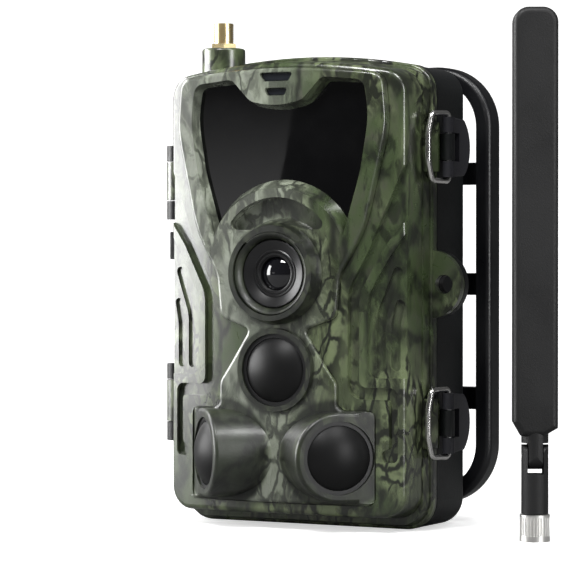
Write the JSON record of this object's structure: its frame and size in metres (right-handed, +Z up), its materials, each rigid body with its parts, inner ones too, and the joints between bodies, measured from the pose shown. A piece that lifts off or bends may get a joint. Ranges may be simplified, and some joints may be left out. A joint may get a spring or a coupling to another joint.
{
  "type": "trail camera",
  "caption": "Hinged weatherproof trail camera with infrared window, motion sensors, draw latches, rear strap bracket and a folding screw-on aerial.",
  "frame": {"origin": "mouth of the tripod socket in the foot of the rear half", "axes": "+Z up through the case and out of its top, +X toward the latch side, -Y out of the lens toward the subject"},
  "size_m": [0.1436, 0.071, 0.1592],
  "materials": {
    "camo_shell": "semi-gloss moulded plastic with a printed bark pattern",
    "black_housing": "satin blue-black moulded plastic",
    "latch_plastic": "satin dark grey plastic",
    "inner_plastic": "fine-textured black plastic",
    "gloss_black": "polished black acrylic",
    "window_dome": "glossy black infrared window",
    "lens_black": "black anodised rings",
    "lens_glass": "coated lens glass",
    "smoked_window": "smoked clear plastic",
    "board": "solder-masked laminate",
    "chip": "moulded epoxy and stamped metal",
    "led": "smoked epoxy domes",
    "sensor_can": "plated cans",
    "display": "dark display glass",
    "card": "black card",
    "keys": "grey silicone",
    "seal": "black silicone",
    "brass": "gold-plated brass",
    "insulator": "white fluoropolymer",
    "bright_steel": "bright stainless wire",
    "steel": "plated steel",
    "cell_wrap": "plain wrapped cells",
    "nickel": "knurled nickel plate",
    "aerial_plastic": "fine-grained matte plastic"
  },
  "bodies": {
    "rear_half": {"rear_housing": "black_housing", "strap_bracket": "black_housing", "bracket_screws": "steel", "case_gasket": "seal", "tripod_bush": "brass", "battery_tray": "inner_plastic", "battery_cells": "cell_wrap", "battery_contacts": "steel", "hinge_pins": "steel", "latch_pins": "steel", "power_jack": "steel"},
    "front_half": {"front_shell": "camo_shell", "face_mask": "camo_shell", "ir_window": "gloss_black", "ir_led_board": "board", "ir_leds": "led", "lens_bezel": "lens_black", "lens_barrel": "lens_black", "lens_glass": "lens_glass", "image_sensor_board": "board", "pir_window_centre": "window_dome", "pir_window_left": "window_dome", "pir_window_right": "window_dome", "pir_rings": "lens_black", "pir_sensors": "sensor_can", "aerial_boss": "camo_shell", "aerial_connector": "brass", "connector_core": "insulator", "indicator_window": "smoked_window", "microphone": "smoked_window", "inner_cover": "inner_plastic", "cover_screws": "steel", "display_panel": "display", "main_board": "board", "board_chips": "chip", "card_slot": "chip", "memory_card": "card", "speaker": "chip", "usb_port": "sensor_can"},
    "lever_upper": {"latch_lever_upper": "latch_plastic"},
    "lever_lower": {"latch_lever_lower": "latch_plastic"},
    "bail_upper": {"latch_bail_upper": "bright_steel"},
    "bail_lower": {"latch_bail_lower": "bright_steel"},
    "power_switch": {"power_switch": "keys"},
    "port_plug": {"port_plug": "seal"},
    "aerial_base": {"aerial_collar": "aerial_plastic", "aerial_pin": "steel"},
    "aerial_nut": {"aerial_nut": "nickel"},
    "aerial_paddle": {"aerial_paddle": "aerial_plastic"},
    "key_ok": {"key_ok": "keys"},
    "key_up": {"key_up": "keys"},
    "key_down": {"key_down": "keys"},
    "key_left": {"key_left": "keys"},
    "key_right": {"key_right": "keys"},
    "key_menu": {"key_menu": "keys"},
    "key_shot": {"key_shot": "keys"}
  },
  "joints": [
    {"name": "case_hinge", "type": "hinge", "parent": "rear_half", "child": "front_half", "pos_m": [-0.0495, -0.011, 0.074], "axis": [0, 0, -1], "range_deg": [0, 150]},
    {"name": "lever_upper_turn", "type": "hinge", "parent": "rear_half", "child": "lever_upper", "pos_m": [0.0484, -0.0119, 0.1187], "axis": [0, 0, -1], "range_deg": [0, 150]},
    {"name": "bail_upper_turn", "type": "hinge", "parent": "lever_upper", "child": "bail_upper", "pos_m": [0.0474, -0.0101, 0.1187], "axis": [0, 0, 1], "range_deg": [0, 172.5]},
    {"name": "lever_lower_turn", "type": "hinge", "parent": "rear_half", "child": "lever_lower", "pos_m": [0.0484, -0.0119, 0.0333], "axis": [0, 0, -1], "range_deg": [0, 150]},
    {"name": "bail_lower_turn", "type": "hinge", "parent": "lever_lower", "child": "bail_lower", "pos_m": [0.0474, -0.0101, 0.0333], "axis": [0, 0, 1], "range_deg": [0, 172.5]},
    {"name": "key_ok_press", "type": "slide", "parent": "front_half", "child": "key_ok", "axis": [0, -1, 0], "range_m": [0, 0.0004], "stiffness_N_per_m": 600, "springref_m": -0.0002},
    {"name": "key_up_press", "type": "slide", "parent": "front_half", "child": "key_up", "axis": [0, -1, 0], "range_m": [0, 0.0004], "stiffness_N_per_m": 600, "springref_m": -0.0002},
    {"name": "key_down_press", "type": "slide", "parent": "front_half", "child": "key_down", "axis": [0, -1, 0], "range_m": [0, 0.0004], "stiffness_N_per_m": 600, "springref_m": -0.0002},
    {"name": "key_left_press", "type": "slide", "parent": "front_half", "child": "key_left", "axis": [0, -1, 0], "range_m": [0, 0.0004], "stiffness_N_per_m": 600, "springref_m": -0.0002},
    {"name": "key_right_press", "type": "slide", "parent": "front_half", "child": "key_right", "axis": [0, -1, 0], "range_m": [0, 0.0004], "stiffness_N_per_m": 600, "springref_m": -0.0002},
    {"name": "key_menu_press", "type": "slide", "parent": "front_half", "child": "key_menu", "axis": [0, -1, 0], "range_m": [0, 0.0004], "stiffness_N_per_m": 600, "springref_m": -0.0002},
    {"name": "key_shot_press", "type": "slide", "parent": "front_half", "child": "key_shot", "axis": [0, -1, 0], "range_m": [0, 0.0004], "stiffness_N_per_m": 600, "springref_m": -0.0002},
    {"name": "switch_slide", "type": "slide", "parent": "front_half", "child": "power_switch", "axis": [1, 0, 0], "range_m": [-0.0035, 0.0035]},
    {"name": "plug_pull", "type": "slide", "parent": "rear_half", "child": "port_plug", "axis": [0, 0, -1], "range_m": [0, 0.012]},
    {"name": "aerial_lift", "type": "slide", "parent": "rear_half", "child": "aerial_base", "axis": [0, 0, 1], "range_m": [0, 0.17]},
    {"name": "aerial_nut_spin", "type": "hinge", "parent": "aerial_base", "child": "aerial_nut", "pos_m": [0.0834, -0.0263, 0.004], "axis": [0, 0, 1], "continuous": true},
    {"name": "aerial_tilt", "type": "hinge", "parent": "aerial_base", "child": "aerial_paddle", "pos_m": [0.0834, -0.0263, 0.0255], "axis": [0.8788, 0.4772, 0], "range_deg": [0, 90]}
  ],
  "couplings": [
    {"joint": "bail_upper_turn", "follows": "lever_upper_turn", "ratio": 1.15},
    {"joint": "bail_lower_turn", "follows": "lever_lower_turn", "ratio": 1.15}
  ]
}
